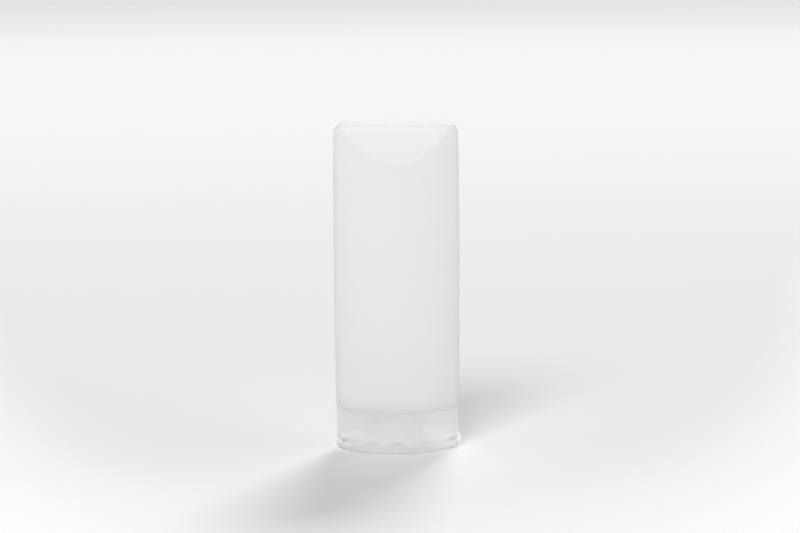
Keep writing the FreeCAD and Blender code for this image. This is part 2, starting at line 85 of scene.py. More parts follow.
class BottleShape(bpy.types.PropertyGroup):
    """The bottle's own sizes. Its outer box comes from the CAD model."""

    wall: length("Wall", 0.0009, "Thickness of the plastic")
    end_radius: length("End radius", 0.007, "Radius of the narrow ends, seen from above")
    crown_inset: length("Crown inset", 0.00045, "How much each side narrows from the waist to the top")
    foot_inset: length("Foot inset", 0.00025, "How much each side narrows from the waist to the foot")
    waist_bulge: length("Waist bulge", 0.0000071, "How far the fullest section stands past the middle")
    band_depth: length("Top band", 0.0115, "Front-to-back depth of the flat on top")
    facet_drop: length("Facet drop", 0.0152, "Height of the slanted faces")
    corner_radius: length("Corner radius", 0.0048, "Radius of the top corners, seen from the front")
    corner_stand_off: length("Corner stand-off", 0.00012, "How far outside the side those corners start")
    soft_edge: length("Soft edge", 0.0012, "Radius of the edges of the slanted faces")
    cap_gap: length("Cap gap", 0.00008, "From the cap's rim to the bottle's foot")
    foot_radius: length("Foot radius", 0.0002, "Radius of the body's lower edge")
    foot_recess: length("Foot recess", 0.00005, "How far the body draws in some way above that edge")
    foot_bevel: length("Foot bevel", 0.0002, "How far the body draws in close to that edge")
    collar_inset: length("Collar inset", 0.0019, "How far the collar inside the cap steps in")
    collar_height: length("Collar height", 0.0023, "Height of that collar")
    collar_radius: length("Collar radius", 0.0006, "Radius of the collar's lower edge")
    neck_radius: length("Neck radius", 0.0097, "Outer radius of the neck")
    bead: length("Neck bead", 0.0005, "How far the bead stands out from the neck")
    bead_low: length("Bead start", 0.0105, "Height of the bead's lower edge")
    bead_ramp: length("Bead ramp", 0.00096, "Height over which the bead slopes outwards")
    bead_height: length("Bead height", 0.0016, "Whole height of the bead")
    seam_depth: length("Seam depth", 0.00006, "Depth of the fine grooves beside the mould's parting line")
    seam_offset: length("Seam offset", 0.0003, "From the parting line to each groove")
    seam_width: length("Seam width", 0.00014, "Half width of each groove")


class HingeShape(bpy.types.PropertyGroup):
    """The living hinge's own sizes."""

    thickness: length("Thickness", 0.0003, "Thickness of the strap")
    foot: length("Foot", 0.0008, "Height of each end of the strap, where it joins the cap or the lid")
    edge: length("Edge", 0.00012, "Rounding of the strap's outline")


class Finish(bpy.types.PropertyGroup):
    """Colours and finishes. Two of the floor's colours are painted light and painted shade."""

    bottle_tint: tint("Bottle colour", (0.88, 0.88, 0.88), "Colour of the milky bottle plastic")
    bottle_glow: tint("Bottle glow", (0.96, 0.96, 0.96), "Colour of the light that comes through it")
    cap_tint: tint("Cap colour", (0.97, 0.97, 0.97), "Colour of the clear cap plastic")
    cap_haze: tint("Cap haze", (0.93, 0.93, 0.93), "Colour of the haze in the cap plastic")
    # Painted shade: the lid is the cap's plastic, with its haze painted darker than the cap's
    lid_shaded_haze: tint("Lid haze", (0.88, 0.88, 0.88), "Colour of the haze in the lid")
    floor_tint: tint("Floor colour", (0.79, 0.79, 0.79), "Colour of the floor round the bottle")
    # Painted light: the floor is painted paler outside an oval round the bottle and behind it, as a pool
    # of light
    painted_light_tint: tint("Floor edge colour", (0.94, 0.94, 0.94), "Colour that the floor fades to")
    # Painted shade: far behind the bottle the floor is painted deeper, as the shade of a curving backdrop
    painted_shade_tint: tint("Far floor colour", (0.72, 0.72, 0.72), "Colour of the floor far behind the bottle")


# ------------------------------------------------------------ mesh helpers
WELD_DISTANCE = 1e-7


def new_piece(name, vertices, faces, material):
    """A smooth-shaded mesh object in the scene."""
    mesh = bpy.data.meshes.new(name)
    mesh.from_pydata([tuple(v) for v in vertices], [], [tuple(int(i) for i in f) for f in faces])
    mesh.update()
    mesh.materials.append(material)
    mesh.polygons.foreach_set("use_smooth", [True] * len(mesh.polygons))
    piece = bpy.data.objects.new(name, mesh)
    bpy.context.scene.collection.objects.link(piece)
    return piece


def ring_faces(rings, stations):
    """Quads between neighbouring closed rings of vertices."""
    ring = np.arange(rings - 1)[:, None] * stations
    here = np.arange(stations)[None, :]
    following = (here + 1) % stations
    quads = (ring + here, ring + following, ring + stations + following, ring + stations + here)
    return np.stack(quads, -1).reshape(-1, 4)


def weld(mesh):
    """Join the vertices that share a place, and drop the faces that this leaves with no area."""
    bm = bmesh.new()
    bm.from_mesh(mesh)
    bmesh.ops.remove_doubles(bm, verts=bm.verts, dist=WELD_DISTANCE)
    bmesh.ops.dissolve_degenerate(bm, edges=bm.edges, dist=WELD_DISTANCE)
    bmesh.ops.recalc_face_normals(bm, faces=bm.faces)
    bm.to_mesh(mesh)
    bm.free()


def weld_with_normals(mesh, normals, sharp_angle):
    """Weld the mesh, then set its vertex normals. A vertex whose normal is zero keeps the mesh's own."""
    mesh.attributes.new("surface_normal", "FLOAT_VECTOR", "POINT")
    mesh.attributes["surface_normal"].data.foreach_set("vector", normals.ravel())
    weld(mesh)
    kept = np.zeros(len(mesh.vertices) * 3)
    mesh.attributes["surface_normal"].data.foreach_get("vector", kept)
    mesh.set_sharp_from_angle(angle=sharp_angle)
    mesh.normals_split_custom_set_from_vertices(kept.reshape(-1, 3))
    mesh.attributes.remove(mesh.attributes["surface_normal"])


# ------------------------------------------------------- the bottle's shape
STATIONS_ON_END = 12
STATIONS_ON_FACE = 44
SEAM_TURNS = (0.8, 1.6, 2.8)        # degrees either side of the parting line, each with a station
SEAM_REACH = 3                      # times the grooves' offset from that line, where they have died out
BROW_DROP = 0.00022                 # from the top down to the highest ring of the slanted faces
TOP_SHARES = (                      # sizes of the rings on the flat top, as shares of that ring
    0, 0.03, 0.08, 0.2, 0.4, 0.6, 0.68, 0.76, 0.84, 0.88, 0.91, 0.94, 0.97)
WEDGE_MARGIN = 0.001                # how far the close rings run on below the slanted faces
FOOT_STEPS = (                      # height above the foot, and the share of the foot's recess there
    (0.0065, 0.0), (0.0045, 0.35), (0.0032, 0.8), (0.0025, 1.0), (0.0023, 0.85), (0.0018, 0.0))
WEDGE_RINGS = 46
SIDE_RINGS = 26
INNER_SIDE_RINGS = 26
INNER_WEDGE_RINGS = 24
FOOT_TURNS = 7
COLLAR_TURNS = 5
BOTTLE_SHARP_ANGLE = math.radians(40)
BISECTIONS = 34
PROJECTION_ROUNDS = 40
NORMAL_STEP = 1e-5
FAR = 1.0                           # stands for deep inside: a top corner doesn't limit the side below it
TINY = 1e-9                         # keeps a division by a distance safe


class BottleForm:
    """The bottle's outer surface: a flat oval cut by two slanted faces and a top with round corners.

    The cut edges are rounded as a ball of the soft edge's radius would leave them.
    """

    def __init__(self, shape):
        self.shape = shape
        self.top = BOTTLE_HIGH.z
        self.half_depth = BOTTLE_HIGH.y
        self.half_width = BOTTLE_HIGH.x - shape.waist_bulge
        self.foot = CAP_TOP + shape.cap_gap
        self.middle = (self.foot + self.top) / 2
        self.half_height = (self.top - self.foot) / 2
        self.shoulder = self.foot - shape.collar_height
        self.brow = self.top - BROW_DROP
        self.wedge_low = self.top - shape.facet_drop - WEDGE_MARGIN
        run = self.half_depth - shape.band_depth / 2
        self.facet_normal = np.array([shape.facet_drop, run]) / math.hypot(shape.facet_drop, run)
        self.corner_x = (self.half_width - shape.crown_inset + shape.corner_stand_off
                         - shape.corner_radius)
        self.corner_z = self.top - shape.corner_radius
        self.start, self.aim = self.stations()
        self.waist = self.level(self.middle)

    def half_width_at(self, z):
        """Half the width at a height: a parabola through the foot, the waist and the crown."""
        up = (z - self.middle) / self.half_height
        crown, foot = self.shape.crown_inset, self.shape.foot_inset
        return self.half_width - (crown + foot) / 2 * up * up - (crown - foot) / 2 * up

    def face_lift(self, reach):
        """How far beyond the middle line the centre of a broad face's arc lies.

        The arc runs on smoothly from both ends, whose centres lie this reach from the middle.
        """
        end = self.shape.end_radius
        return ((reach ** 2 + self.half_depth ** 2 - end ** 2) / (2 * (self.half_depth - end))
                - self.half_depth)

    def stations(self):
        """Where each ray leaves the middle line, and its aim: the outward normals round the oval."""
        reach = self.half_width - self.shape.end_radius
        lift = self.face_lift(reach)
        spread = math.atan2(lift, reach)
        ends = np.linspace(0, spread, STATIONS_ON_END, endpoint=False)[1:]
        faces = np.linspace(spread, math.pi / 2, STATIONS_ON_FACE)
        quarter = np.concatenate([[0.0], np.radians(SEAM_TURNS), ends, faces])
        start = np.where(quarter <= spread, reach, lift / np.tan(np.maximum(quarter, spread)))
        half_turn = np.concatenate([quarter, math.pi - quarter[-2::-1]])
        half_start = np.concatenate([start, -start[-2::-1]])
        turn = np.concatenate([half_turn, 2 * math.pi - half_turn[-2:0:-1]])
        start = np.concatenate([half_start, half_start[-2:0:-1]])
        return start, np.stack([np.cos(turn), np.sin(turn)], -1)

    def distance(self, x, y, z):
        """Signed distance to the rounded surface, negative inside."""
        shape = self.shape
        x, y = np.abs(x), np.abs(y)
        reach = self.half_width_at(z) - shape.end_radius
        lift = self.face_lift(reach)
        on_face = reach * (y + lift) > lift * x
        flank_x = np.where(on_face, x, x - reach)
        flank_y = np.where(on_face, y + lift, y)
        away = np.maximum(np.hypot(flank_x, flank_y), TINY)
        flank = away - np.where(on_face, lift + self.half_depth, shape.end_radius)
        flank_normal = (flank_x / away, flank_y / away, np.zeros_like(x))
        facing_y, facing_z = self.facet_normal
        facet = (y - shape.band_depth / 2) * facing_y + (z - self.top) * facing_z
        facet_normal = (np.zeros_like(x), np.full_like(x, facing_y), np.full_like(x, facing_z))
        past_x = np.maximum(x - self.corner_x, 0)
        past_z = z - self.corner_z
        out = np.maximum(np.hypot(past_x, past_z), TINY)
        corner = np.where(past_z > 0, out - shape.corner_radius, -FAR)
        corner_normal = (past_x / out, np.zeros_like(x), past_z / out)
        return rounded(shape.soft_edge, (flank, facet, corner),
                       (flank_normal, facet_normal, corner_normal))

    def normals(self, points):
        """Outward normals of the surface at points on it, from the change in distance."""
        slopes = [self.distance(*(points + shift).T) - self.distance(*(points - shift).T)
                  for shift in NORMAL_STEP * np.eye(3)]
        slopes = np.stack(slopes, -1)
        return slopes / np.maximum(np.linalg.norm(slopes, axis=1, keepdims=True), TINY)

    def along_rays(self, run, z):
        """The point of each ray at this run from the middle line, at a height."""
        return np.stack([self.start + run * self.aim[:, 0], run * self.aim[:, 1],
                         np.full_like(run, z)], -1)

    def level(self, z, inset=0.0):
        """The ring at a height, where each ray meets the surface, or one inset inside it."""
        near = np.zeros(len(self.start))
        far = np.full(len(self.start), 2 * self.half_depth)
        _, run = bisect(lambda run: self.distance(*self.along_rays(run, z).T) < -inset, near, far)
        return self.along_rays(run, z)

    def cover(self, ring, part, inset=0.0):
        """The ring shrunk towards the middle line to this part, and set on the top surface."""
        x = self.start + part * (ring[:, 0] - self.start)
        y = part * ring[:, 1]
        low = np.full(len(self.start), self.corner_z)
        high = np.full(len(self.start), self.top + inset)
        z, _ = bisect(lambda z: self.distance(x, y, z) < -inset, low, high)
        return np.stack([x, y, z], -1)

    def drawn_in(self, ring, inset, z):
        """The ring drawn in along its rays by the inset, at a height."""
        return np.stack([ring[:, 0] - inset * self.aim[:, 0], ring[:, 1] - inset * self.aim[:, 1],
                         np.full(len(ring), z)], -1)

    def rounding(self, ring, inset, radius, z, turns):
        """Rings round a lower edge, which leaves the ring drawn in by the inset and turns in at z."""
        return [self.drawn_in(ring, inset + radius * (1 - math.cos(turn)),
                              z + radius * (1 - math.sin(turn)))
                for turn in np.linspace(0, math.pi / 2, turns)]


def bisect(inside, low, high):
    """Halve the gap between a value that is inside the surface and one outside, for each station."""
    for _ in range(BISECTIONS):
        mid = (low + high) / 2
        within = inside(mid)
        low = np.where(within, mid, low)
        high = np.where(within, high, mid)
    return low, high


def rounded(radius, distances, normals):
    """Distance to a convex body with rounded edges, from the distances to its faces and their normals.

    The body is shrunk by the radius, and the nearest point of that smaller body is found by
    projecting on its faces in turn.
    """
    count = len(distances)
    over = [distance + radius for distance in distances]
    facing = [[sum(p * q for p, q in zip(normals[i], normals[j])) for j in range(count)]
              for i in range(count)]
    push = [np.zeros_like(over[0]) for _ in range(count)]
    for _ in range(PROJECTION_ROUNDS):
        for i in range(count):
            others = sum(facing[i][j] * push[j] for j in range(count) if j != i)
            push[i] = np.maximum(over[i] - others, 0)
    nearest = np.sqrt(np.maximum(sum(along * past for along, past in zip(push, over)), 0))
    deep = nearest == 0
    return np.where(deep, np.maximum.reduce(distances), nearest - radius)


def outside_rings(form):
    """From the middle of the top, over the slanted faces and down the sides to where the foot begins."""
    heights = np.concatenate([
        np.linspace(form.brow, form.wedge_low, WEDGE_RINGS),
        np.linspace(form.wedge_low, form.foot + FOOT_STEPS[0][0], SIDE_RINGS)[1:]])
    brow = form.level(form.brow)
    return [form.cover(brow, part) for part in TOP_SHARES] + [form.level(z) for z in heights]


def foot_rings(form):
    """The body's foot, which draws in a little on the way down and is rounded under its edge."""
    shape = form.shape
    rings = [form.drawn_in(form.level(form.foot + rise), part * shape.foot_recess, form.foot + rise)
             for rise, part in FOOT_STEPS[1:]]
    edge_height = form.foot + shape.foot_radius
    edge = form.drawn_in(form.level(edge_height), shape.foot_bevel, edge_height)
    rings.append(edge)
    return rings + form.rounding(edge, 0, shape.foot_radius, form.foot, FOOT_TURNS)[1:]


def collar_rings(form):
    """The collar, which follows the waist's oval inside the cap."""
    shape = form.shape
    top = form.drawn_in(form.waist, shape.collar_inset, form.foot)
    return [top] + form.rounding(form.waist, shape.collar_inset, shape.collar_radius, form.shoulder,
                                 COLLAR_TURNS)


def neck_rings(form, collar):
    """The round neck: down outside past its bead, over its open end and up inside."""
    shape = form.shape
    outer = shape.neck_radius
    bead = outer + shape.bead
    inner = outer - shape.wall
    bead_top = shape.bead_low + shape.bead_height
    end = BOTTLE_LOW.z
    round_off = shape.wall / 4
    outline = (
        (outer, form.shoulder), (outer, bead_top), (bead, bead_top),
        (bead, shape.bead_low + shape.bead_ramp), (outer, shape.bead_low),
        (outer, end + round_off), (outer - round_off, end),
        (inner + round_off, end), (inner, end + round_off), (inner, form.shoulder + shape.wall))
    spokes = collar[:, :2] / np.linalg.norm(collar[:, :2], axis=1, keepdims=True)
    return [np.concatenate([radius * spokes, np.full((len(spokes), 1), z)], 1) for radius, z in outline]


def hollow_rings(form):
    """The hollow inside the collar and the body, up to the middle of its ceiling."""
    shape = form.shape
    wall = shape.wall
    inner_collar = shape.collar_inset + wall
    rings = [form.drawn_in(form.waist, inner_collar, z) for z in (form.shoulder + wall, form.foot + wall)]
    heights = np.concatenate([
        np.linspace(form.foot + wall, form.wedge_low, INNER_SIDE_RINGS),
        np.linspace(form.wedge_low, form.brow - wall, INNER_WEDGE_RINGS)[1:]])
    rings += [form.level(z, wall) for z in heights]
    highest = rings[-1]
    return rings + [form.cover(highest, part, wall) for part in TOP_SHARES[::-1]]


def sink_seam(form, points, normals):
    """Sink two fine grooves that leave the mould's parting line standing between them.

    The line runs up both ends and over the top. Points beside it get a zero normal, so that the
    mesh's own normals show the grooves.
    """
    shape = form.shape
    on_ends = np.abs(points[:, 0]) > form.half_width / 2
    on_top = points[:, 2] > form.corner_z
    seam = (on_ends | on_top) & (np.abs(points[:, 1]) < SEAM_REACH * shape.seam_offset)
    off = (np.abs(points[seam, 1]) - shape.seam_offset) / shape.seam_width
    depth = shape.seam_depth * np.exp(-off ** 2)
    points[seam] -= normals[seam] * depth[:, None]
    normals[seam] = 0


class BOTTLE_OT_add_bottle(bpy.types.Operator):
    """Add the squeeze bottle with its neck and its hollow"""

    bl_idname = "bottle.add_bottle"
    bl_label = "Add bottle"

    def execute(self, context):
        form = BottleForm(context.scene.bottle_shape)
        outside = outside_rings(form)
        collar = collar_rings(form)
        rings = outside + foot_rings(form) + collar + neck_rings(form, collar[-1]) + hollow_rings(form)
        stations = len(form.start)
        smooth = len(outside) * stations
        points = np.concatenate(rings)
        normals = np.zeros_like(points)
        normals[:smooth] = form.normals(points[:smooth])
        sink_seam(form, points[:smooth], normals[:smooth])
        piece = new_piece("bottle_shell", points, ring_faces(len(rings), stations)[:, ::-1],
                          bottle_plastic(context.scene.bottle_finish))
        weld_with_normals(piece.data, normals, BOTTLE_SHARP_ANGLE)
        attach(piece, "pack")
        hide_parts("bottle")
        return {"FINISHED"}


# ------------------------------------------------------- the living hinge
BOW_POINTS = 25
SECTION_POINTS = 32
STRAP_SHARP_ANGLE = math.radians(50)


def strap_section(half_length, half_thickness, edge):
    """The strap's section: a flat bar with rounded corners, as places along and across the strap."""
    section = []
    for turn in np.linspace(0, 2 * math.pi, SECTION_POINTS, endpoint=False):
        cosine, sine = math.cos(turn), math.sin(turn)
        section.append((math.copysign(half_length - edge, cosine) + edge * cosine,
                        math.copysign(half_thickness - edge, sine) + edge * sine))
    return section


def carry_section(section, line):
    """Vertices and faces of a section carried along a line in the y = 0 plane, closed at both ends."""
    along = np.gradient(line, axis=0)
    along /= np.linalg.norm(along, axis=1, keepdims=True)
    across = np.stack([-along[:, 1], along[:, 0]], -1)
    points = []
    for (x, z), (across_x, across_z) in zip(line, across):
        points += [(x + w * across_x, y, z + w * across_z) for y, w in section]
    count = len(section)
    faces = [tuple(face) for face in ring_faces(len(line), count)]
    faces.append(tuple(range(count))[::-1])
    faces.append(tuple(range(len(points) - count, len(points))))
    return points, faces


class BOTTLE_OT_add_hinge(bpy.types.Operator):
    """Add the living hinge, a bowed strap between the cap and the lid"""

    bl_idname = "bottle.add_hinge"
    bl_label = "Add hinge"

    def execute(self, context):
        shape = context.scene.hinge_shape
        half = shape.thickness / 2
        middle = (HINGE_LOW.z + HINGE_HIGH.z) / 2
        rise = (HINGE_HIGH.z - HINGE_LOW.z) / 2
        foot_x = HINGE_LOW.x + half
        bow = HINGE_HIGH.x - half - foot_x
        line = [(foot_x, middle + rise), (foot_x, middle + rise - shape.foot / 2)]
        line += [(foot_x + bow * math.cos(turn), middle + (rise - shape.foot) * math.sin(turn))
                 for turn in np.linspace(math.pi / 2, -math.pi / 2, BOW_POINTS)]
        line += [(foot_x, middle - rise + shape.foot / 2), (foot_x, middle - rise)]
        points, faces = carry_section(strap_section(HINGE_HIGH.y, half, shape.edge), np.array(line))
        piece = new_piece("hinge_strap", points, faces, cap_plastic(context.scene.bottle_finish))
        weld(piece.data)
        piece.data.set_sharp_from_angle(angle=STRAP_SHARP_ANGLE)
        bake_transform(piece)
        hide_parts("living_hinge")
        return {"FINISHED"}


# -------------------------------------------------------------- materials
GRAIN_SCALE = 4000.0
BUMP_HEIGHT = 0.0001
EDGE_POWER = 3.0                    # keeps the deeper part of a shadow to grazing angles
POLYETHYLENE_IOR = 1.51
POLYPROPYLENE_IOR = 1.49
GLOW_SHARE = 0.38                   # share of the milky plastic's look that is light from behind it
SEE_THROUGH_SHARE = 0.03            # share of it that is a plain view of what stands behind
HAZE_SHARE = 0.75                   # share of the clear plastic's look that is its haze
HAZE_GLOW_SHARE = 0.12              # share of the haze that is light from behind it


def new_material(name):
    """A material with only its output node."""
    material = bpy.data.materials.new(name)
    material.use_nodes = True
    tree = material.node_tree
    tree.nodes.clear()
    return material, tree, tree.nodes.new("ShaderNodeOutputMaterial")


def feed(tree, socket, value):
    """Link an output to the input socket, or set the socket to a plain number or colour."""
    if isinstance(value, bpy.types.NodeSocket):
        tree.links.new(value, socket)
    else:
        socket.default_value = value


def calculate(tree, operation, *values):
    """The result of a Math node on numbers or outputs."""
    node = tree.nodes.new("ShaderNodeMath")
    node.operation = operation
    for socket, value in zip(node.inputs, values):
        feed(tree, socket, value)
    return node.outputs[0]


def spread(tree, value, low, high):
    """A value from 0 to 1 spread out to run from low to high."""
    node = tree.nodes.new("ShaderNodeMapRange")
    node.inputs["To Min"].default_value = low
    node.inputs["To Max"].default_value = high
    tree.links.new(value, node.inputs["Value"])
    return node.outputs["Result"]


def smooth_step(tree, value, start, end):
    """The value turned into a smooth rise from 0 at start to 1 at end."""
    node = tree.nodes.new("ShaderNodeMapRange")
    node.interpolation_type = "SMOOTHSTEP"
    node.inputs["From Min"].default_value = start
    node.inputs["From Max"].default_value = end
    tree.links.new(value, node.inputs["Value"])
    return node.outputs["Result"]


def mix_colours(tree, factor, first, second):
    """The first colour where the factor is 0, and the second where it is 1."""
    node = tree.nodes.new("ShaderNodeMix")
    node.data_type = "RGBA"
    for socket, value in (("Factor", factor), ("A", first), ("B", second)):
        feed(tree, node.inputs[socket], value)
    return node.outputs["Result"]


def mix_shaders(tree, factor, first, second):
    """The first shader where the factor is 0, and the second where it is 1."""
    node = tree.nodes.new("ShaderNodeMixShader")
    for socket, value in zip(node.inputs, (factor, first, second)):
        feed(tree, socket, value)
    return node.outputs[0]


def plain_shader(tree, kind, colour):
    """A shader of this kind with one colour."""
    shader = tree.nodes.new(kind)
    shader.inputs["Color"].default_value = (*colour, 1)
    return shader.outputs[0]


def moulded_surface():
    """The node group for moulded plastic: faint flow waves and a fine grain."""
    name = "moulded surface"
    if name in bpy.data.node_groups:
        return bpy.data.node_groups[name]
    group = bpy.data.node_groups.new(name, "ShaderNodeTree")
    for socket, direction, kind in (
            ("Wave scale", "INPUT", "NodeSocketFloat"), ("Grain scale", "INPUT", "NodeSocketFloat"),
            ("Grain", "INPUT", "NodeSocketFloat"), ("Tint", "INPUT", "NodeSocketColor"),
            ("Shade", "INPUT", "NodeSocketColor"), ("Height", "OUTPUT", "NodeSocketFloat"),
            ("Cloud", "OUTPUT", "NodeSocketFloat"), ("Color", "OUTPUT", "NodeSocketColor")):
        group.interface.new_socket(socket, in_out=direction, socket_type=kind)
    nodes, links = group.nodes, group.links
    given = nodes.new("NodeGroupInput").outputs
    result = nodes.new("NodeGroupOutput").inputs
    place = nodes.new("ShaderNodeTexCoord").outputs["Object"]

    def noise(scale, detail):
        """A noise texture that is fixed to the object."""
        node = nodes.new("ShaderNodeTexNoise")
        node.inputs["Detail"].default_value = detail
        links.new(place, node.inputs["Vector"])
        links.new(scale, node.inputs["Scale"])
        return node.outputs["Fac"]

    waves = noise(given["Wave scale"], detail=1.0)
    grain = noise(given["Grain scale"], detail=2.0)
    links.new(calculate(group, "MULTIPLY_ADD", grain, given["Grain"], waves), result["Height"])
    links.new(waves, result["Cloud"])
    links.new(mix_colours(group, waves, given["Tint"], given["Shade"]), result["Color"])
    return group


def moulded_plastic(tree, colour, *, shade, roughness, bump, wave_scale, grain):
    """A Principled shader on the moulded surface, whose waves run from the colour to a share of it."""
    surface = tree.nodes.new("ShaderNodeGroup")
    surface.node_tree = moulded_surface()
    surface.inputs["Wave scale"].default_value = wave_scale
    surface.inputs["Grain scale"].default_value = GRAIN_SCALE
    surface.inputs["Grain"].default_value = grain
    surface.inputs["Tint"].default_value = (*colour, 1)
    surface.inputs["Shade"].default_value = (*(c * shade for c in colour), 1)
    principled = tree.nodes.new("ShaderNodeBsdfPrincipled")
    tree.links.new(surface.outputs["Color"], principled.inputs["Base Color"])
    tree.links.new(spread(tree, surface.outputs["Cloud"], *roughness), principled.inputs["Roughness"])
    height = tree.nodes.new("ShaderNodeBump")
    height.inputs["Strength"].default_value = bump
    height.inputs["Distance"].default_value = BUMP_HEIGHT
    tree.links.new(surface.outputs["Height"], height.inputs["Height"])
    tree.links.new(height.outputs["Normal"], principled.inputs["Normal"])
    return principled


def shadow_passes(tree, output, seen, *, facing, grazing):
    """Put the shader on the output, and let a share of the lamps' light pass through it.

    The share goes from facing, where the light meets the surface squarely, to grazing.
    """
    angle = tree.nodes.new("ShaderNodeLayerWeight").outputs["Facing"]
    deepening = calculate(tree, "POWER", angle, EDGE_POWER)
    dimming = mix_colours(tree, deepening, (facing, facing, facing, 1), (grazing, grazing, grazing, 1))
    passing = tree.nodes.new("ShaderNodeBsdfTransparent")
    tree.links.new(dimming, passing.inputs["Color"])
    path = tree.nodes.new("ShaderNodeLightPath")
    surface = mix_shaders(tree, path.outputs["Is Shadow Ray"], seen, passing.outputs[0])
    tree.links.new(surface, output.inputs["Surface"])


def bottle_plastic(finish):
    """Milky natural polyethylene: satin, glowing where light comes through, hardly see-through."""
    name = "milky polyethylene"
    if name in bpy.data.materials:
        return bpy.data.materials[name]
    material, tree, output = new_material(name)
    skin = moulded_plastic(tree, finish.bottle_tint, shade=0.985, roughness=(0.19, 0.24), bump=0.25,
                           wave_scale=45.0, grain=0.3)
    skin.inputs["IOR"].default_value = POLYETHYLENE_IOR
    glow = plain_shader(tree, "ShaderNodeBsdfTranslucent", finish.bottle_glow)
    clear = tree.nodes.new("ShaderNodeBsdfTransparent")
    body = mix_shaders(tree, GLOW_SHARE, skin.outputs[0], glow)
    seen = mix_shaders(tree, SEE_THROUGH_SHARE, body, clear.outputs[0])
    shadow_passes(tree, output, seen, facing=0.61, grazing=0.0)
    return material


def clear_plastic(name, colour, haze_colour):
    """Natural polypropylene: clear and glossy with a haze in it, so that the tubes inside show softly.

    The haze lies where light enters the plastic. Where light leaves it again, the surface is clear.
    """
    if name in bpy.data.materials:
        return bpy.data.materials[name]
    material, tree, output = new_material(name)
    clear = moulded_plastic(tree, colour, shade=0.99, roughness=(0.10, 0.13), bump=0.15,
                            wave_scale=80.0, grain=0.1)
    clear.inputs["IOR"].default_value = POLYPROPYLENE_IOR
    clear.inputs["Transmission Weight"].default_value = 1.0
    cloud = plain_shader(tree, "ShaderNodeBsdfDiffuse", haze_colour)
    glow = plain_shader(tree, "ShaderNodeBsdfTranslucent", haze_colour)
    haze = mix_shaders(tree, HAZE_GLOW_SHARE, cloud, glow)
    leaving = tree.nodes.new("ShaderNodeNewGeometry").outputs["Backfacing"]
    haze_share = calculate(tree, "MULTIPLY_ADD", leaving, -HAZE_SHARE, HAZE_SHARE)
    seen = mix_shaders(tree, haze_share, clear.outputs[0], haze)
    shadow_passes(tree, output, seen, facing=0.85, grazing=0.50)
    return material


def cap_plastic(finish):
    """The clear plastic of the cap base and the living hinge."""
    return clear_plastic("cap polypropylene", finish.cap_tint, finish.cap_haze)


def lid_plastic(finish):
    """The clear plastic of the lid: the cap's plastic with its haze painted darker, painted shade that
    keeps the lid from glowing too bright.
    """
    return clear_plastic("lid polypropylene", finish.cap_tint, finish.lid_shaded_haze)


class BOTTLE_OT_finish_cap(bpy.types.Operator):
    """Give the cap base and the lid their plastic"""

    bl_idname = "bottle.finish_cap"
    bl_label = "Finish cap"

    def execute(self, context):
        finish = context.scene.bottle_finish
        for node, plastic in (("cap_base", cap_plastic(finish)), ("flip_lid", lid_plastic(finish))):
            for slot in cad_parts[node].material_slots:
                slot.material = plastic
        return {"FINISHED"}


# ------------------------------------------------------------------ stage
CAMERA_TARGET = Vector((0.00125, 0.0, 0.07415))
CAMERA_DISTANCE = 0.900
CAMERA_ELEVATION = math.radians(12.19)
CAMERA_YAW = math.radians(-1.19)
CAMERA_ROLL = math.radians(-0.43)
CAMERA_LENS = 101.97
CAMERA_CLIP = (0.01, 50.0)
LAMPS = (                           # name, azimuth, elevation, strength and width, with angles in degrees
    ("key", 160, 47, 1.78, 23),
    ("fill", -24, 49, 1.42, 26),
    ("front", -5, 45, 0.12, 22),
    ("low", -38, 15, 0.10, 14),
    ("right", 78, 14, 1.00, 60),
    ("left", -85, 14, 0.28, 60),
    ("overhead", 0, 66, 0.22, 16),
)
ROOM_LIGHT = 0.07
ROOM_SEEN = 0.88
WALLS_IN_A_ROW = 40                 # thin walls that a ray may pass, more than the cap and the neck have
FLOOR_GAP = 0.00005                 # keeps the paper and the lid from sharing one plane
FLOOR_HALF = 6.0
PAPER_ROUGHNESS = 0.9
POOL_CENTRE = 0.45                  # how far behind the bottle the middle of the floor's deeper oval lies, outside which paler painted light is laid
POOL_HALF_WIDTH = 0.235
POOL_HALF_LENGTH = 0.57
POOL_FADE = (0.86, 1.14)            # shares of the oval's size between which its near edge fades
BACK_RISE = (0.05, 1.10)            # distances behind the bottle over which the floor grows paler with painted light
BACK_SHARE = 0.78                   # how far towards the painted light colour that takes it
BACK_FALL = (1.20, 2.05)            # distances over which it then deepens to the far colour, a painted shade


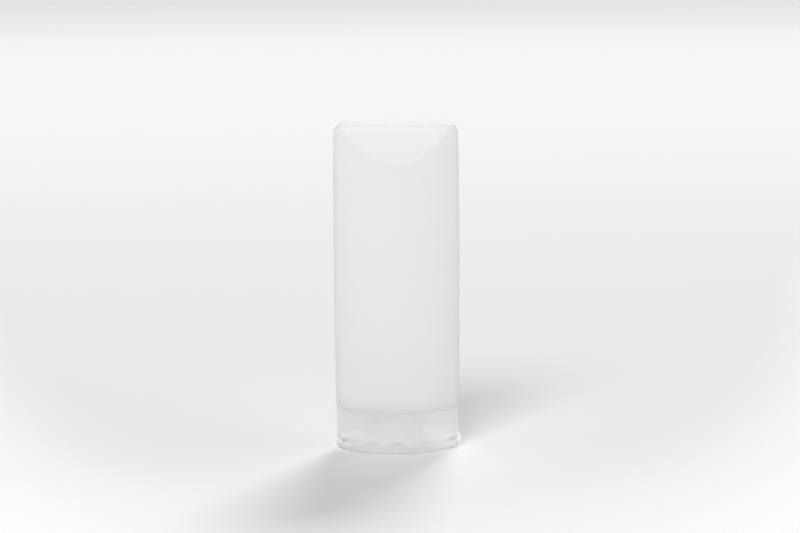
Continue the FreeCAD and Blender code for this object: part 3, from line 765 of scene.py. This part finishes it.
def floor_paper(finish):
    """Pale paper with painted light and shade: a little deeper round the bottle, painted near white
    beyond it and painted deeper again far behind.
    """
    material, tree, output = new_material("studio paper")
    nodes, links = tree.nodes, tree.links
    place = nodes.new("ShaderNodeTexCoord").outputs["Object"]
    pool = nodes.new("ShaderNodeMapping")
    pool.vector_type = "TEXTURE"
    pool.inputs["Location"].default_value = (0, POOL_CENTRE, 0)
    pool.inputs["Scale"].default_value = (POOL_HALF_WIDTH, POOL_HALF_LENGTH, 1)
    links.new(place, pool.inputs["Vector"])
    outwards = nodes.new("ShaderNodeVectorMath")
    outwards.operation = "LENGTH"
    links.new(pool.outputs["Vector"], outwards.inputs[0])
    split = nodes.new("ShaderNodeSeparateXYZ")
    links.new(place, split.inputs[0])
    behind = split.outputs["Y"]
    near = smooth_step(tree, behind, POOL_CENTRE, POOL_CENTRE / 2)
    outside = smooth_step(tree, outwards.outputs["Value"], *POOL_FADE)
    front = calculate(tree, "MULTIPLY", near, outside)
    back = calculate(tree, "MULTIPLY", smooth_step(tree, behind, *BACK_RISE), BACK_SHARE)
    # Painted light: the floor is painted paler outside the oval and behind the bottle
    pale = mix_colours(tree, calculate(tree, "MAXIMUM", front, back),
                       (*finish.floor_tint, 1), (*finish.painted_light_tint, 1))
    # Painted shade: far behind the bottle the floor is painted deeper
    colour = mix_colours(tree, smooth_step(tree, behind, *BACK_FALL), pale, (*finish.painted_shade_tint, 1))
    paper = nodes.new("ShaderNodeBsdfPrincipled")
    paper.inputs["Roughness"].default_value = PAPER_ROUGHNESS
    paper.inputs["Specular IOR Level"].default_value = 0.0
    links.new(colour, paper.inputs["Base Color"])
    links.new(paper.outputs[0], output.inputs["Surface"])
    return material


def direction(azimuth, elevation):
    """A unit vector from angles in radians. The azimuth turns from the front (-Y) towards +X."""
    return Vector((math.sin(azimuth) * math.cos(elevation), -math.cos(azimuth) * math.cos(elevation),
                   math.sin(elevation)))


def add_lamp(name, azimuth, elevation, strength, width):
    """A distant softbox. Its place, and the angle that its width fills, are in degrees."""
    lamp = bpy.data.lights.new(name, "SUN")
    lamp.energy = strength
    lamp.angle = math.radians(width)
    light = bpy.data.objects.new(name, lamp)
    towards = direction(math.radians(azimuth), math.radians(elevation))
    light.rotation_mode = "QUATERNION"
    light.rotation_quaternion = towards.to_track_quat("Z", "Y")
    light.location = towards
    light.visible_transmission = False
    bpy.context.scene.collection.objects.link(light)


def add_surroundings():
    """A white room: seen and reflected it is white, and as light it is the soft fill from all round.

    A transmission ray counts as light, because the light that comes through the milky plastic is one.
    """
    world = bpy.data.worlds.new("studio")
    world.use_nodes = True
    tree = world.node_tree
    tree.nodes.clear()
    path = tree.nodes.new("ShaderNodeLightPath")
    seen = calculate(tree, "MAXIMUM", path.outputs["Is Camera Ray"], path.outputs["Is Glossy Ray"])
    room = tree.nodes.new("ShaderNodeBackground")
    room.inputs["Color"].default_value = (1, 1, 1, 1)
    tree.links.new(spread(tree, seen, ROOM_LIGHT, ROOM_SEEN), room.inputs["Strength"])
    output = tree.nodes.new("ShaderNodeOutputWorld")
    tree.links.new(room.outputs[0], output.inputs["Surface"])
    bpy.context.scene.world = world


def add_camera():
    """The camera looks down at the bottle a little from the left, from far enough for a long lens."""
    back = direction(CAMERA_YAW, CAMERA_ELEVATION)
    right = Vector((0, 0, 1)).cross(back).normalized()
    up = back.cross(right)
    cosine, sine = math.cos(CAMERA_ROLL), math.sin(CAMERA_ROLL)
    right, up = cosine * right + sine * up, cosine * up - sine * right
    place = CAMERA_TARGET + CAMERA_DISTANCE * back
    data = bpy.data.cameras.new("camera")
    data.lens = CAMERA_LENS
    data.clip_start, data.clip_end = CAMERA_CLIP
    camera = bpy.data.objects.new("camera", data)
    camera.matrix_world = Matrix((
        (right.x, up.x, back.x, place.x),
        (right.y, up.y, back.y, place.y),
        (right.z, up.z, back.z, place.z),
        (0, 0, 0, 1)))
    bpy.context.scene.collection.objects.link(camera)
    bpy.context.scene.camera = camera


class BOTTLE_OT_add_stage(bpy.types.Operator):
    """Add the camera, the pale floor and the soft light"""

    bl_idname = "bottle.add_stage"
    bl_label = "Add stage"

    def execute(self, context):
        scene = context.scene
        scene.view_settings.view_transform = "Standard"
        scene.cycles.transparent_max_bounces = WALLS_IN_A_ROW
        scene.cycles.transmission_bounces = WALLS_IN_A_ROW
        scene.cycles.max_bounces = WALLS_IN_A_ROW
        corners = [(x * FLOOR_HALF, y * FLOOR_HALF, 0) for x, y in ((-1, -1), (1, -1), (1, 1), (-1, 1))]
        floor = new_piece("floor", corners, [(0, 1, 2, 3)], floor_paper(scene.bottle_finish))
        floor.location.z = LID_UNDERSIDE - FLOOR_GAP
        add_camera()
        for lamp in LAMPS:
            add_lamp(*lamp)
        add_surroundings()
        return {"FINISHED"}


# ------------------------------------------------------------------ panel
class BOTTLE_PT_panel(bpy.types.Panel):
    """Lists the operators and the sizes"""

    bl_idname = "BOTTLE_PT_panel"
    bl_label = "Squeeze bottle"
    bl_space_type = "VIEW_3D"
    bl_region_type = "UI"
    bl_category = "Bottle"

    def draw(self, context):
        column = self.layout.column()
        for operator in OPERATORS:
            column.operator(operator.bl_idname)
        for group in (context.scene.bottle_shape, context.scene.hinge_shape, context.scene.bottle_finish):
            box = self.layout.box()
            for name in group.__annotations__:
                box.prop(group, name)


OPERATORS = (BOTTLE_OT_add_stage, BOTTLE_OT_add_bottle, BOTTLE_OT_add_hinge, BOTTLE_OT_finish_cap)
CLASSES = (BottleShape, HingeShape, Finish, *OPERATORS, BOTTLE_PT_panel)


def register():
    """Register the classes, and give each scene its sizes and colours."""
    for cls in CLASSES:
        bpy.utils.register_class(cls)
    bpy.types.Scene.bottle_shape = bpy.props.PointerProperty(type=BottleShape)
    bpy.types.Scene.hinge_shape = bpy.props.PointerProperty(type=HingeShape)
    bpy.types.Scene.bottle_finish = bpy.props.PointerProperty(type=Finish)


def unregister():
    """Take away what register added."""
    del bpy.types.Scene.bottle_finish
    del bpy.types.Scene.hinge_shape
    del bpy.types.Scene.bottle_shape
    for cls in reversed(CLASSES):
        bpy.utils.unregister_class(cls)


def main():
    """Build everything."""
    register()
    bpy.ops.bottle.add_stage()
    bpy.ops.bottle.add_bottle()
    bpy.ops.bottle.add_hinge()
    bpy.ops.bottle.finish_cap()


if __name__ == "__main__":
    main()
